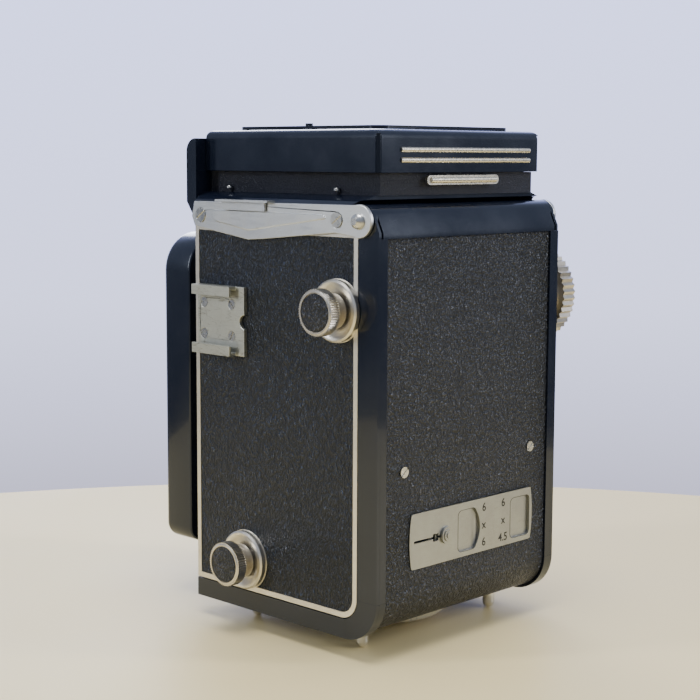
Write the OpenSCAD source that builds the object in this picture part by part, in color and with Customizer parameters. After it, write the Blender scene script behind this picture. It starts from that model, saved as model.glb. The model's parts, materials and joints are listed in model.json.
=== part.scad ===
// Twin lens reflex camera for roll film.
// X runs across the camera, +X on the side with the accessory shoe.
// Y runs front to back, with the lenses at -Y and the hinged back at +Y.
// Z = 0 is the surface that the feet stand on, and X = Y = 0 is the tripod socket's axis.

/* [Body] */
// Half width over the enamelled back shell
shell_x = 40; // [39.5:0.1:41]
// Half width of the body casting
cast_x = 38.4; // [38.2:0.1:38.6]
// Front face of the body
front_y = -39.1; // [-40:0.1:-38.5]
// Rear face of the hinged back
back_y = 37.1; // [37:0.1:38]
// Underside of the hinged back
base_z = 5.8; // [5.5:0.1:6]
// Radius of the lower rear corner
corner_r = 12; // [10:0.5:13]

/* [Back hinge] */
// Distance of the hinge pin behind the socket
hinge_y = 30.7; // [30.5:0.1:31]
// Height of the hinge pin
hinge_z = 123.8; // [123.5:0.1:124]
// Radius of the rolled edge round the hinge
roll_r = 4.5; // [4.4:0.1:4.6]

/* [Optics] */
// Height of the taking lens axis
taking_z = 53; // [52:0.5:54]
// Height of the viewing lens axis
viewing_z = 95; // [94:0.5:96]
// Side of the square picture opening
frame_w = 56; // [54:0.5:56]
// Film plane
film_y = 33; // [32.8:0.1:33.2]

/* [Film spools] */
// Radius of a roll film spool's flange
spool_r = 12.6; // [12.4:0.1:12.8]
// Length of a roll film spool
spool_w = 65; // [64:0.5:65]
// Distance of the take-up spool behind the socket
take_y = 21.7; // [21.5:0.1:22]
// Height of the take-up spool
take_z = 98.8; // [98.5:0.1:99]
// Distance of the feed spool from the socket
feed_y = -16.7; // [-17:0.1:-16.5]
// Height of the feed spool
feed_z = 21.1; // [21:0.1:21.5]

/* [Lens panel] */
// Half width of the moving lens panel
panel_x = 31; // [30:0.5:32]
// Front face of the lens panel
panel_front = -66.3; // [-67:0.1:-66]
// Rear face of the lens panel
panel_back = -52.9; // [-54:0.1:-52]
// Bottom edge of the lens panel
panel_low = 18; // [17:0.5:19]
// Top edge of the lens panel
panel_high = 117; // [116:0.5:118]

/* [Finder hood] */
// Half width of the hood's lid
lid_x = 35.6; // [35.4:0.1:35.7]
// Top of the lid
lid_top = 148.85; // [148:0.05:149]
// Bottom edge of the lid
lid_low = 136.9; // [136.9:0.1:137.2]
// Rear face of the lid
lid_back = 32.8; // [32.6:0.1:33]

/* [Fits] */
// Radial clearance of a pin that turns in its hole
run = 0.05; // [0.02:0.01:0.08]
// Gap between pieces that move past each other
gap = 0.3; // [0.2:0.05:0.35]

/* [Hidden] */
$fn = 64;
eps = 0.01;
cast_base = 8.1;
cast_front = front_y + 1.15;
cast_back = 34.8;
cast_top = 120.9;
front_wall = -30;
cheek_in = spool_w / 2 + 0.7;
chamber_r = spool_r + 0.5;
trim_in = 39.3;
trim_out = 39.9;
trim_front = -39.1;
trim_rear = 29.4;
trim_low = 11.7;
trim_w = 1.6;
trim_corner = 6;
sweep_r = roll_r + 1.2;
skin_r = 11.4;
skin_y = 25.1;
skin_z = 18.3;
skin_top = 119;
skin_front = -34;
skin_thick = 0.35;
skin_half = 36.2;
skin_face = skin_y + skin_r;
plate_face = skin_face + 0.4;
slice = 0.02;
door_wall = 2;
knob_seats = [[take_y, take_z], [feed_y, feed_z]];
focus_y = -22;
focus_z = 46;
seat_r = 9;
pin_seats = [[take_y, take_z, seat_r, 4 + run], [feed_y, feed_z, seat_r, 4 + run]];
drive_seats = [[take_y, take_z, seat_r, 3 + run], [focus_y, focus_z, seat_r, 4 + run]];
shoe_y = [-37, -16.1];
shoe_z = [82.4, 103];
plate_screw_at = [[-35.1, 123.7], [22.4, 123.9]];
shoe_screw_at = [[-34.1, 88.1], [-34.1, 97.6], [-21.7, 88.1], [-21.7, 97.6]];
format_x = [-29.6, 26.2];
format_z = [25, 41.1];
door_screw_x = [-28.4, 28.4];
door_screw_z = 53.7;
foot_x = [-28.75, 28.75];
foot_y = [-23.8, 21];
knob_x = 10.4;
slide_z = 32.85;
window_mid = [-23, 1.7];
hood_x = 33.4;
hood_back = 31.4;
hood_low = 130.6;
hood_high = 136.8;
lid_axis_y = -37.4;
lid_axis_z = 147.3;
flap_x = 31;
flap_z = 138.3;
rear_flap_y = 29.6;
rear_flap_z = 140.6;
mag_y = -10;
mag_z = 145.2;
ring_r = 20.5;
cable_x = 21;
cable_z = 25;
back_inner_z = base_z + door_wall;

// A cylinder along +X from x0 to x1, centred at the point (y, z)
module rod_x(r, x0, x1, y, z) {
    translate([x0, y, z]) rotate([0, 90, 0]) cylinder(r = r, h = x1 - x0);
}

// A cylinder along +Y from y0 to y1, centred at the point (x, z)
module rod_y(r, y0, y1, x, z) {
    translate([x, y1, z]) rotate([90, 0, 0]) cylinder(r = r, h = y1 - y0);
}

// A cone along +X
module cone_x(r0, r1, x0, x1, y, z) {
    translate([x0, y, z]) rotate([0, 90, 0]) cylinder(r1 = r0, r2 = r1, h = x1 - x0);
}

// A block given by its low and high corners
module block(low, high) {
    translate(low) cube(high - low);
}

// Stands a (Y, Z) outline up and gives it the stretch x0 to x1
module slab_x(x0, x1) {
    translate([x0, 0, 0]) rotate([90, 0, 90]) linear_extrude(x1 - x0) children();
}

// Stands an (X, Z) outline up and gives it the stretch y0 to y1
module slab_y(y0, y1) {
    translate([0, y1, 0]) rotate([90, 0, 0]) linear_extrude(y1 - y0) children();
}

// Both sides of the camera
module both_sides() {
    children();
    mirror([1, 0, 0]) children();
}

// A rectangle from low to high with round corners
module round_rect(low, high, r) {
    translate([low[0] + r, low[1]]) square([high[0] - low[0] - 2 * r, high[1] - low[1]]);
    translate([low[0], low[1] + r]) square([high[0] - low[0], high[1] - low[1] - 2 * r]);
    for (x = [low[0] + r, high[0] - r], z = [low[1] + r, high[1] - r])
        translate([x, z]) circle(r);
}

// A disc with a toothed edge
module knurl_2d(r, depth, teeth) {
    polygon([for (i = [0:2 * teeth - 1]) let (a = i * 180 / teeth, k = r - depth * (i % 2))
        [k * cos(a), k * sin(a)]]);
}

// A knurled ring along +X
module knurl_x(r, depth, teeth, x0, x1, y, z) {
    translate([x0, y, z]) rotate([0, 90, 0]) linear_extrude(x1 - x0) knurl_2d(r, depth, teeth);
}

// A slotted countersunk screw head and shank that face +X
module screw_x(head_r, x, proud, length, y, z, turn) {
    difference() {
        union() {
            rod_x(head_r, x - 0.4, x + proud, y, z);
            rod_x(head_r * 0.5, x - length, x - 0.4, y, z);
        }
        translate([x + proud, y, z]) rotate([turn, 0, 0]) cube([0.7, head_r * 3, 0.45], center = true);
    }
}

// The outline of the side trim, whose lower rear corner is round
module trim_outline(inset) {
    low = trim_low + inset;
    rear = trim_rear - inset;
    r = trim_corner - inset;
    translate([trim_front + inset, low + r]) square([rear - trim_front - inset, cast_top - low - r - inset]);
    translate([trim_front + inset, low]) square([rear - r - trim_front - inset, r]);
    translate([rear - r, low + r]) circle(r);
}

// The outline of the hinged back seen from the side, drawn in by an inset
module back_outline(inset) {
    r = corner_r - inset;
    cy = back_y - corner_r;
    cz = base_z + corner_r;
    front = front_y + inset * 0.5;
    translate([front, base_z + inset]) square([cy - front, hinge_z - base_z - inset]);
    translate([front, cz]) square([back_y - inset - front, hinge_z - cz]);
    translate([cy, cz]) circle(r);
}

// ---------------------------------------------------------------- body

// The slanted floor behind the mirror, and the space over it up to the screen
module finder_space() {
    floor_z = 70;
    slope_0 = 96.74;
    slab_x(-29.5, 29.5) polygon([[front_wall, floor_z], [floor_z - slope_0, floor_z], [21.5, 21.5 + slope_0],
        [23, 120], [23, cast_top + 5], [front_wall, cast_top + 5]]);
}

// The dark tapering space between the taking lens and the film
module picture_space() {
    front_half = 14.5;
    half = frame_w / 2;
    slab_x(-half, half) polygon([[front_wall, taking_z - front_half], [film_y + 3, taking_z - half],
        [film_y + 3, taking_z + half], [front_wall, taking_z + front_half]]);
}

// The chambers that hold the two spools, open to the back and to the bottom
module spool_spaces() {
    rod_x(chamber_r, -cheek_in, cheek_in, take_y, take_z);
    block([-cheek_in, take_y, take_z - chamber_r], [cheek_in, cast_back + 5, take_z + chamber_r]);
    rod_x(chamber_r, -cheek_in, cheek_in, feed_y, feed_z);
    block([-cheek_in, feed_y - chamber_r, 0], [cheek_in, feed_y + chamber_r, feed_z]);
    block([-cheek_in, feed_y, 0], [cheek_in, cast_back + 5, 16]);
    block([-cheek_in, 26.5, 0], [cheek_in, cast_back + 5, 24]);
    block([-cheek_in, 26.5, 81.6], [cheek_in, cast_back + 5, 90]);
    block([-cheek_in, film_y, 0], [cheek_in, cast_back + 5, 112]);
}

// A joint across X at x, and on the other side
module joint_x(x, low, high) {
    both_sides() block([x, low[0], low[1]], [x + slice, high[0], high[1]]);
}

// The hairline joints between the plates and blocks that the casting is made up of
module casting_joints() {
    joint_x(cheek_in, [-60, 0], [60, 200]);
    joint_x(28, [front_wall, 0], [60, 200]);
    block([-cheek_in, front_wall, 0], [cheek_in, front_wall + slice, 200]);
    block([-cheek_in, front_wall, 112], [cheek_in, 60, 112 + slice]);
    block([-28, 23, 112], [28, 23 + slice, 200]);
    block([-30, cast_front - slice, 20], [30, cast_front, 115]);
    for (z = [25.5, 106.5]) block([-30, -51, z], [30, cast_front, z + slice]);
    for (z = [taking_z, viewing_z]) block([-cheek_in, cast_front, z], [cheek_in, front_wall, z + slice]);
    block([0, cast_front, 0], [slice, front_wall, 200]);
}

module housing() {
    color([0.05, 0.05, 0.06]) difference() {
        union() {
            intersection() {
                slab_x(-cast_x, cast_x) back_outline(2.3);
                block([-50, front_y, cast_base], [50, cast_back, cast_top]);
            }
            difference() {
                block([-25.2, -50, 24], [25.2, cast_front + eps, 108]);
                block([-23.7, -51, 25.5], [23.7, 0, 106.5]);
            }
            for (z = [20.5, 84.5])
                both_sides() block([cheek_in - 1.2, 28.6, z - 2], [cheek_in + 1, 32.4, z + 2]);
        }
        finder_space();
        picture_space();
        difference() {
            spool_spaces();
            for (z = [20.5, 84.5])
                both_sides() block([cheek_in - 1.2, 28.6, z - 2], [cheek_in + 1, 32.4, z + 2]);
        }
        rod_y(14, front_y - 1, front_wall + 1, 0, taking_z);
        rod_y(15, front_y - 1, front_wall + 1, 0, viewing_z);
        rod_x(sweep_r, -50, 50, hinge_y, hinge_z);
        for (x = [-21, 21], z = [32, 74]) rod_y(1.5 + run, front_y - 1, front_wall - 1, x, z);
        for (p = pin_seats) rod_x(4 + run, cheek_in - 1, 50, p[0], p[1]);
        rod_x(3 + run, -50, -cheek_in + 1, take_y, take_z);
        for (z = [20.5, 84.5]) rod_x(1.25, -cheek_in - 3, cheek_in + 3, 30.5, z);
        rod_x(4 + run, -50, -35.2, focus_y, focus_z);
        block([-4.6, -37.2, 0], [4.6, feed_y, 9.9]);
        casting_joints();
    }
    color([0.6, 0.6, 0.6]) rod_x(2.9, -cheek_in, -29.2, feed_y, feed_z);
}

// One side's trim plate, with a raised rim and raised seats under the knobs
module trim_plate(seats) {
    difference() {
        union() {
            slab_x(cast_x, trim_in) trim_outline(0);
            slab_x(trim_in - eps, trim_out) difference() {
                trim_outline(0);
                trim_outline(trim_w);
            }
            intersection() {
                for (p = seats) rod_x(p[2], cast_x, trim_out, p[0], p[1]);
                slab_x(cast_x - 1, trim_out + 1) trim_outline(0);
            }
            block([cast_x, -35, 119.2], [trim_out, trim_rear, cast_top]);
        }
        for (p = seats) rod_x(p[3], cast_x - 1, trim_out + 1, p[0], p[1]);
        rod_x(4.75, cast_x - 1, trim_out + 1, hinge_y, hinge_z);
    }
}

module side_trims() {
    color([0.78, 0.76, 0.7]) {
        trim_plate(pin_seats);
        mirror([1, 0, 0]) trim_plate(drive_seats);
    }
}

// One side's leather, cut round the raised seats
module leather_panel(seats) {
    difference() {
        slab_x(trim_in, trim_out - 0.15) trim_outline(trim_w + 0.1);
        for (p = seats) rod_x(p[2] + 0.05, cast_x, trim_out + 1, p[0], p[1]);
        block([cast_x, -50, 119.1], [trim_out + 1, 50, 130]);
    }
}

module side_leather() {
    color([0.12, 0.12, 0.15]) {
        leather_panel(pin_seats);
        mirror([1, 0, 0]) leather_panel(drive_seats);
    }
}

// The outline of the hinge plate on each side of the hood
module strap_outline() {
    polygon([[-38.1, 127.8], [30.7, 128.2], [30.7, 119.4], [21.6, 120.35], [-6, 117.7], [-14, 117.1],
        [-29.6, 119.2], [-37.9, 120.4], [-39.3, 123.3]]);
    translate([hinge_y, hinge_z]) circle(4.6);
}

module strap_plates() {
    relief = [[-28.5, 125.3], [-30, 123.8], [-28.5, 122.2], [-14, 119.9], [18, 124.2], [17.5, 125.1]];
    color([0.66, 0.68, 0.7]) both_sides() difference() {
        union() {
            slab_x(trim_out, 41.1) strap_outline();
            slab_x(41.1 - eps, 41.35) polygon(relief);
        }
        rod_x(2, 35, 45, hinge_y, hinge_z);
        for (p = plate_screw_at) rod_x(2.15, 40.6, 45, p[0], p[1]);
        for (p = plate_screw_at) rod_x(1.05, 38, 45, p[0], p[1]);
    }
}

module side_screws() {
    shoe_x = trim_out - 0.15;
    shoe_turns = [0, 5, 60, -40];
    color([0.7, 0.7, 0.7]) {
        both_sides() for (p = plate_screw_at) screw_x(2.1, 41, 0.45, 5, p[0], p[1], 35);
        for (i = [0:3]) let (p = shoe_screw_at[i])
            screw_x(1.5, shoe_x + 1, 0.2, 1, p[0], p[1], shoe_turns[i]);
    }
}

module hinge_rivets() {
    color([0.7, 0.7, 0.7]) both_sides() {
        rod_x(2, 37.5, 41.1, hinge_y, hinge_z);
        cone_x(2.3, 2, 41.1, 42.1, hinge_y, hinge_z);
        cone_x(2, 1, 42.1, 43, hinge_y, hinge_z);
    }
}

module strap_lugs() {
    color([0.7, 0.7, 0.7]) both_sides() {
        difference() {
            block([40.2, -26, 128], [43.4, -3.4, 128.6]);
            block([41.6, -16, 127], [42.8, -6, 130]);
        }
        block([41.35, -24, 125.6], [42, -6, 128 + eps]);
    }
}

module accessory_shoe() {
    x0 = trim_out - 0.15;
    mid_z = (shoe_z[0] + shoe_z[1]) / 2;
    color([0.55, 0.56, 0.53]) difference() {
        union() {
            block([x0, shoe_y[0], shoe_z[0]], [x0 + 1.2, shoe_y[1], shoe_z[1]]);
            for (s = [-1, 1]) {
                outer = mid_z + s * (shoe_z[1] - shoe_z[0]) / 2;
                inner = mid_z + s * 7.3;
                wall = outer - s * 1;
                block([x0, shoe_y[0], min(outer, wall)], [x0 + 3.8, -19.8, max(outer, wall)]);
                block([x0 + 2.9, shoe_y[0], min(outer, inner)], [x0 + 3.8, -19.8, max(outer, inner)]);
            }
        }
        rod_x(2, x0 - 1, x0 + 5, shoe_y[1], mid_z);
        for (p = shoe_screw_at) {
            rod_x(1.5, x0 + 0.6, x0 + 5, p[0], p[1]);
            rod_x(0.75, x0 - 1, x0 + 5, p[0], p[1]);
        }
    }
}

module knob_collars() {
    color([0.72, 0.7, 0.64]) for (p = knob_seats) difference() {
        union() {
            rod_x(8.8, trim_out, 41.5, p[0], p[1]);
            cone_x(8.8, 8.3, 41.5 - eps, 42, p[0], p[1]);
        }
        rod_x(4 + run, 38, 45, p[0], p[1]);
        cone_x(5.6, 7.6, 40.9, 42.05, p[0], p[1]);
        block([39, trim_rear, 0], [shell_x + 0.25, 50, 200]);
    }
}

module top_cover() {
    deck = [[-39.85, cast_top], [-39.85, 128], [-38.6, 129.2], [-34.5, hood_low], [34.5, hood_low],
        [38.6, 129.2], [39.85, 128], [39.85, cast_top]];
    cowl_top = 146.5;
    color([0.04, 0.04, 0.05]) difference() {
        union() {
            slab_y(front_y, 30.6) polygon(deck);
            difference() {
                slab_x(-39.5, 39.5) union() {
                    polygon([[front_y, 124], [-41, 124], [-43.5, 127.5], [-43.5, cowl_top - 4],
                        [-43.5 + 4, cowl_top], [front_y, cowl_top]]);
                    translate([-39.5, cowl_top - 4]) circle(4);
                }
                block([-50, front_y, 0], [50, 0, 200]);
            }
        }
        rod_x(sweep_r, -50, 50, hinge_y, hinge_z);
        block([-29.5, front_wall, 0], [29.5, 23, 200]);
        block([-31, -32, 128.2], [31, 25, 200]);
        block([-34.5, -35, 0], [34.5, 25, 126.5]);
        for (s = [-1, 1], p = plate_screw_at) rod_x(1.05, s * 40 - 6, s * 40 + 6, p[0], p[1]);
    }
}

module focusing_screen() {
    color([0.8, 0.85, 0.85, 0.6]) block([-30.8, -31.8, 128.25], [30.8, 24.8, 129.6]);
}

// The plate that carries the mirror lies on the slanted floor
module on_mirror_slope(thick, lift, half_x, length) {
    foot = -26;
    translate([0, foot, foot + 96.74]) rotate([45, 0, 0])
        translate([-half_x, 0, lift]) cube([2 * half_x, length, thick]);
}

module mirror_carrier() {
    color([0.1, 0.1, 0.1]) on_mirror_slope(0.6, 0.02, 28.5, 64);
}

module reflex_mirror() {
    color([0.8, 0.85, 0.9]) on_mirror_slope(1, 0.64, 27.5, 62);
}

// ---------------------------------------------------------------- finder hood

module hood_base() {
    color([0.1, 0.1, 0.12]) {
        difference() {
            block([-hood_x, front_y + 0.1, hood_low], [hood_x, hood_back, hood_high]);
            block([-30.9, -32, 0], [30.9, 24.9, 200]);
            block([-12, hood_back - 2.1, 133.2], [12, 50, 136.3]);
            for (y = [-32, 24.9]) block([-50, y, 100], [50, y + slice, 200]);
        }
        for (y = [-29.8, 15.5]) both_sides() intersection() {
            translate([hood_x - 0.2, y, 131.6]) sphere(1);
            block([hood_x - eps, y - 3, 128], [40, y + 3, 135]);
        }
        both_sides() for (y = [-30.2, 27.6]) difference() {
            block([flap_x - 0.9, y, hood_high - eps], [flap_x + 1.3, y + 1.4, flap_z + 1]);
            translate([flap_x, y - 1, flap_z]) rotate([-90, 0, 0]) cylinder(r = 0.5, h = 5);
        }
        both_sides() difference() {
            block([29.3, rear_flap_y - 1, hood_high - eps], [30.6, rear_flap_y + 1, rear_flap_z + 1]);
            rod_x(0.5, 28, 32, rear_flap_y, rear_flap_z);
        }
        both_sides() difference() {
            union() {
                block([30.4, front_y + 0.1, hood_high - eps], [32.6, lid_axis_y + 1, lid_axis_z]);
                rod_x(1, 30.4, 32.6, lid_axis_y, lid_axis_z);
            }
            rod_x(0.6, 28, 34, lid_axis_y, lid_axis_z);
        }
    }
}

module hood_catch() {
    face = hood_back + 1.3;
    mid_z = 134.75;
    color([0.8, 0.78, 0.7]) {
        slab_y(face, face + 0.8) round_rect([-15.2, mid_z - 1.35], [16.3, mid_z + 1.35], 1.3);
        rod_x(0.9, -13.8, 14.9, face + 0.65, mid_z);
        block([-10, hood_back - 0.6, mid_z - 1.05], [10, face + eps, mid_z + 1.05]);
    }
}

module hood_pins() {
    color([0.6, 0.6, 0.6]) {
        both_sides() translate([flap_x, -30.2, flap_z]) rotate([-90, 0, 0]) cylinder(r = 0.5, h = 59.2);
        rod_x(0.5, -30.6, 30.6, rear_flap_y, rear_flap_z);
        rod_x(0.6, -32.6, 32.6, lid_axis_y, lid_axis_z);
    }
}

module hood_lid() {
    wall = 1.5;
    r_side = 2.6;
    groove_r = 0.95;
    groove_in = 0.3;
    color([0.04, 0.04, 0.06]) difference() {
        union() {
            slab_x(-lid_x, lid_x) union() {
                translate([lid_axis_y, lid_axis_z]) circle(1.5);
                polygon([[lid_axis_y, lid_top - 0.05],
                    [lid_back - r_side, lid_top], [lid_back - r_side, lid_low],
                    [lid_axis_y - 1.5, lid_low], [lid_axis_y - 1.5, lid_axis_z]]);
                translate([lid_back - r_side, lid_low]) square([r_side, lid_top - r_side - lid_low]);
                translate([lid_back - r_side, lid_top - r_side]) circle(r_side);
            }
        }
        block([-lid_x + wall, -50, 0], [lid_x - wall, lid_back - wall, lid_axis_z - 1.5]);
        block([-lid_x + wall, lid_axis_y + 2, 0], [lid_x - wall, lid_back - wall - 2, lid_top - 1.2]);
        rod_x(0.6 + run, -33, 33, lid_axis_y, lid_axis_z);
        both_sides() block([30, -50, 0], [33, lid_axis_y + 2, 200]);
        both_sides() difference() {
            block([lid_x - r_side, -50, lid_top - r_side], [50, 50, 160]);
            translate([lid_x - r_side, -60, lid_top - r_side])
                rotate([-90, 0, 0]) cylinder(r = r_side, h = 120);
        }
        both_sides() translate([lid_x - groove_in, lid_back - groove_in, 0])
            cylinder(r = groove_r, h = lid_top - r_side / 2);
    }
    color([0.04, 0.04, 0.06]) both_sides() difference() {
        block([15.2, mag_y - 1.2, mag_z - 1.2], [17, mag_y + 1.2, lid_top - 1.2 + eps]);
        rod_x(0.5, 14, 18, mag_y, mag_z);
    }
}

module lid_panel() {
    color([0.05, 0.05, 0.07]) {
        translate([0, 0, lid_top]) linear_extrude(1.1) round_rect([-29, -32.5], [29, 27], 4);
        for (x = [-26.5, 26.5])
            translate([x, -3.5, lid_top + 1.1 - eps]) cylinder(r = 1.1, h = 0.8);
    }
}

module lid_strips() {
    strip_r = 0.75;
    sunk = 0.15;
    color([0.85, 0.82, 0.72]) for (z = [140.3, 143.2]) intersection() {
        rod_x(strip_r, -30.4, 26.6, lid_back - sunk, z);
        block([-31, lid_back, z - 1], [27, lid_back + 1, z + 1]);
    }
}

// A side flap lies folded inwards from its hinge, with both ends cut on a slope
module side_flap() {
    depth = 27.5;
    front = -28.4;
    rear = 27.2;
    difference() {
        union() {
            translate([0, 0, flap_z - 0.4]) linear_extrude(0.8) polygon([[flap_x, front], [flap_x, rear],
                [flap_x - 3, rear - 2.2], [flap_x - depth, rear - 0.8 * depth],
                [flap_x - depth, front + 0.5 * depth], [flap_x - 3, front + 1.5]]);
            translate([flap_x, front, flap_z]) rotate([-90, 0, 0]) cylinder(r = 1, h = rear - front);
        }
        translate([flap_x, front - 1, flap_z])
            rotate([-90, 0, 0]) cylinder(r = 0.5 + run, h = rear - front + 2);
    }
}

module flap_left() {
    color([0.07, 0.07, 0.08]) side_flap();
}

module flap_right() {
    color([0.07, 0.07, 0.08]) mirror([1, 0, 0]) side_flap();
}

module flap_rear() {
    color([0.07, 0.07, 0.08]) difference() {
        union() {
            block([-29, rear_flap_y - 27, rear_flap_z - 0.4], [29, rear_flap_y, rear_flap_z + 0.4]);
            rod_x(1, -29, 29, rear_flap_y, rear_flap_z);
        }
        rod_x(0.5 + run, -30, 30, rear_flap_y, rear_flap_z);
    }
}

module magnifier_frame() {
    color([0.1, 0.1, 0.1]) difference() {
        union() {
            translate([0, 0, mag_z - 0.6]) linear_extrude(1.2) round_rect([-14, mag_y], [14, mag_y + 32], 3);
            rod_x(1.1, -15, 15, mag_y, mag_z);
            translate([0, mag_y + 18, mag_z - 1.6]) cylinder(r = 12, h = 3.2);
        }
        translate([0, mag_y + 18, 0]) cylinder(r = 10.5, h = 200);
        rod_x(0.5 + run, -20, 20, mag_y, mag_z);
    }
}

module magnifier_lens() {
    color([0.8, 0.9, 0.95, 0.5]) intersection() {
        translate([0, mag_y + 18, mag_z - 34.4]) sphere(36, $fn = 96);
        translate([0, mag_y + 18, mag_z - 1.2]) cylinder(r = 10.5, h = 3);
    }
}

module magnifier_pin() {
    color([0.6, 0.6, 0.6]) rod_x(0.5, -17, 17, mag_y, mag_z);
}

// ---------------------------------------------------------------- lens panel

// The panel's outline, with a broad curve on top and a small one below
module panel_outline(inset) {
    x = panel_x - inset;
    low = panel_low + inset;
    high = panel_high - inset;
    r_top = 12 - inset;
    r_low = 5 - inset;
    mid = taking_z + 20;
    round_rect([-x, low], [x, mid], r_low);
    translate([-x, low + 20]) square([2 * x, high - r_top - low - 20]);
    translate([-x + r_top, mid]) square([2 * x - 2 * r_top, high - mid]);
    for (s = [-1, 1]) translate([s * (x - r_top), high - r_top]) circle(r_top);
}

module lens_panel() {
    color([0.05, 0.05, 0.06]) difference() {
        union() {
            slab_y(panel_front, panel_front + 2) panel_outline(1.5);
            slab_y(panel_front + 1.5, panel_back) panel_outline(0);
        }
        slab_y(panel_front + 3, panel_back + 1) panel_outline(2.2);
        block([-50, panel_front + 3, 0], [50, panel_front + 3 + slice, 200]);
        joint_x(panel_x - 2.2, [panel_front + 3, 0], [panel_back + 1, 200]);
        rod_y(14.5, -80, 0, 0, viewing_z);
        rod_y(13.5, -80, 0, 0, taking_z);
        rod_y(0.8, -80, 0, -12, 30.5);
        rod_y(2, -80, 0, cable_x, cable_z);
    }
    color([0.05, 0.05, 0.06]) for (x = [-21, 21], z = [32, 74]) difference() {
        rod_y(2.8, panel_front + 3 + slice, panel_back, x, z);
        rod_y(1.5, panel_front + 4, panel_back + 1, x, z);
        rod_y(2, -80, 0, cable_x, cable_z);
    }
}

module panel_sleeve() {
    color([0.03, 0.03, 0.03]) difference() {
        block([-27, panel_front + 8, 22.2], [27, front_y - 0.3, 110]);
        block([-25.6, -70, 23.6], [25.6, 0, 108.4]);
        for (z = [23.6, 108.4]) block([-30, -70, z], [30, 0, z + slice]);
    }
}

module guide_rods() {
    color([0.7, 0.7, 0.7]) for (x = [-21, 21], z = [32, 74]) rod_y(1.5, panel_front + 4, -32, x, z);
}

module viewing_barrel() {
    color([0.1, 0.1, 0.1]) rotate([90, 0, 0]) translate([0, viewing_z, 0]) difference() {
        union() {
            translate([0, 0, -panel_front]) cylinder(r = 17, h = 2.2);
            translate([0, 0, -panel_front - 8]) cylinder(r = 14.5, h = 9);
            translate([0, 0, -panel_front]) cylinder(r = 15.5, h = 8);
        }
        translate([0, 0, -panel_front - 9]) cylinder(r = 12.5, h = 6);
        translate([0, 0, -panel_front - 4]) cylinder(r = 11.5, h = 20);
        translate([0, 0, -panel_front + 4]) cylinder(r1 = 11.5, r2 = 14.5, h = 4.01);
    }
}

// A lens element with one bulged face, centred at height z
module element(r, bulge_r, y_back, thick, z) {
    intersection() {
        rod_y(r, y_back - thick, y_back, 0, z);
        translate([0, y_back - thick + bulge_r, z]) sphere(bulge_r, $fn = 96);
    }
}

module viewing_lens() {
    color([0.6, 0.7, 0.85, 0.5]) element(11.5, 24, panel_front + 2, 5, viewing_z);
}

module shutter_case() {
    color([0.12, 0.12, 0.12]) rotate([90, 0, 0]) translate([0, taking_z, 0]) difference() {
        union() {
            translate([0, 0, -panel_front]) cylinder(r = 19.5, h = 2.6);
            translate([0, 0, -panel_front - 10]) cylinder(r = 13.5, h = 11);
            translate([0, 0, -panel_front]) cylinder(r = 14, h = 8);
        }
        translate([0, 0, -panel_front - 11]) cylinder(r = 11.5, h = 10);
        translate([0, 0, -panel_front + 1]) cylinder(r = 9.5, h = 20);
        translate([0, 0, -panel_front - 5]) cylinder(r = 9.5, h = 10);
        translate([0, 0, -panel_front + 5]) cylinder(r1 = 9.5, r2 = 13, h = 3.01);
    }
}

module shutter_blades() {
    color([0.25, 0.25, 0.27]) for (i = [0:4])
        translate([0, panel_front + 4.2 - i * 0.3, taking_z]) rotate([90, 72 * i, 0])
            linear_extrude(0.2) intersection() {
                circle(11.3);
                translate([-1.2, -11.3]) square([13, 14]);
            }
}

module taking_lens() {
    color([0.6, 0.65, 0.85, 0.5]) element(9.5, 20, panel_front - 0.6, 4.4, taking_z);
}

module rear_cell() {
    color([0.1, 0.1, 0.1]) difference() {
        union() {
            rod_y(11.4, panel_front + 5.4, panel_front + 10, 0, taking_z);
            rod_y(10, panel_front + 9, panel_front + 15, 0, taking_z);
        }
        rod_y(8.5, -80, 0, 0, taking_z);
    }
}

module rear_lens() {
    color([0.6, 0.65, 0.85, 0.5]) element(8.5, 24, panel_front + 13.4, 3.7, taking_z);
}

// A lever that turns on the taking lens barrel, with its arm at an angle
module barrel_lever(y0, thick, angle, reach) {
    difference() {
        translate([0, y0 + thick, taking_z]) rotate([90, 0, 0]) linear_extrude(thick) union() {
            circle(16);
            rotate(angle) translate([12, -1.6]) square([reach - 14, 3.2]);
            rotate(angle) translate([reach - 2, 0]) circle(2.4);
        }
        rod_y(14 + run, -90, 0, 0, taking_z);
    }
}

module speed_lever() {
    color([0.75, 0.75, 0.75]) barrel_lever(panel_front - 4, 0.9, -150, 23);
}

module aperture_lever() {
    color([0.75, 0.75, 0.75]) barrel_lever(panel_front - 5.4, 0.9, -30, 23);
}

module shutter_lever() {
    color([0.75, 0.75, 0.75]) {
        rod_y(0.75, panel_front - 1.6, panel_front + 3, -12, 30.5);
        translate([-12, panel_front - 0.4, 30.5]) rotate([90, 0, 0]) linear_extrude(1.2) union() {
            circle(2.4);
            rotate(-90) translate([0, -1.2]) square([7, 2.4]);
            rotate(-90) translate([7, 0]) circle(1.8);
        }
    }
}

module cable_socket() {
    color([0.75, 0.75, 0.75]) difference() {
        union() {
            rod_y(2, panel_front - 1, panel_front + 6, cable_x, cable_z);
            rod_y(3, panel_front - 2.5, panel_front, cable_x, cable_z);
        }
        rod_y(1.3, panel_front - 3, panel_front + 4, cable_x, cable_z);
    }
}

// ---------------------------------------------------------------- knobs and spools

module focus_knob() {
    color([0.75, 0.72, 0.66]) difference() {
        mirror([1, 0, 0]) union() {
            rod_x(12, 41.2, 43.5, focus_y, focus_z);
            knurl_x(13.5, 0.6, 60, 43.5, 49, focus_y, focus_z);
        }
        mirror([1, 0, 0]) rod_x(11, 48.2, 50, focus_y, focus_z);
        mirror([1, 0, 0]) rod_x(2.5, 40, 47, focus_y, focus_z);
    }
}

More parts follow.
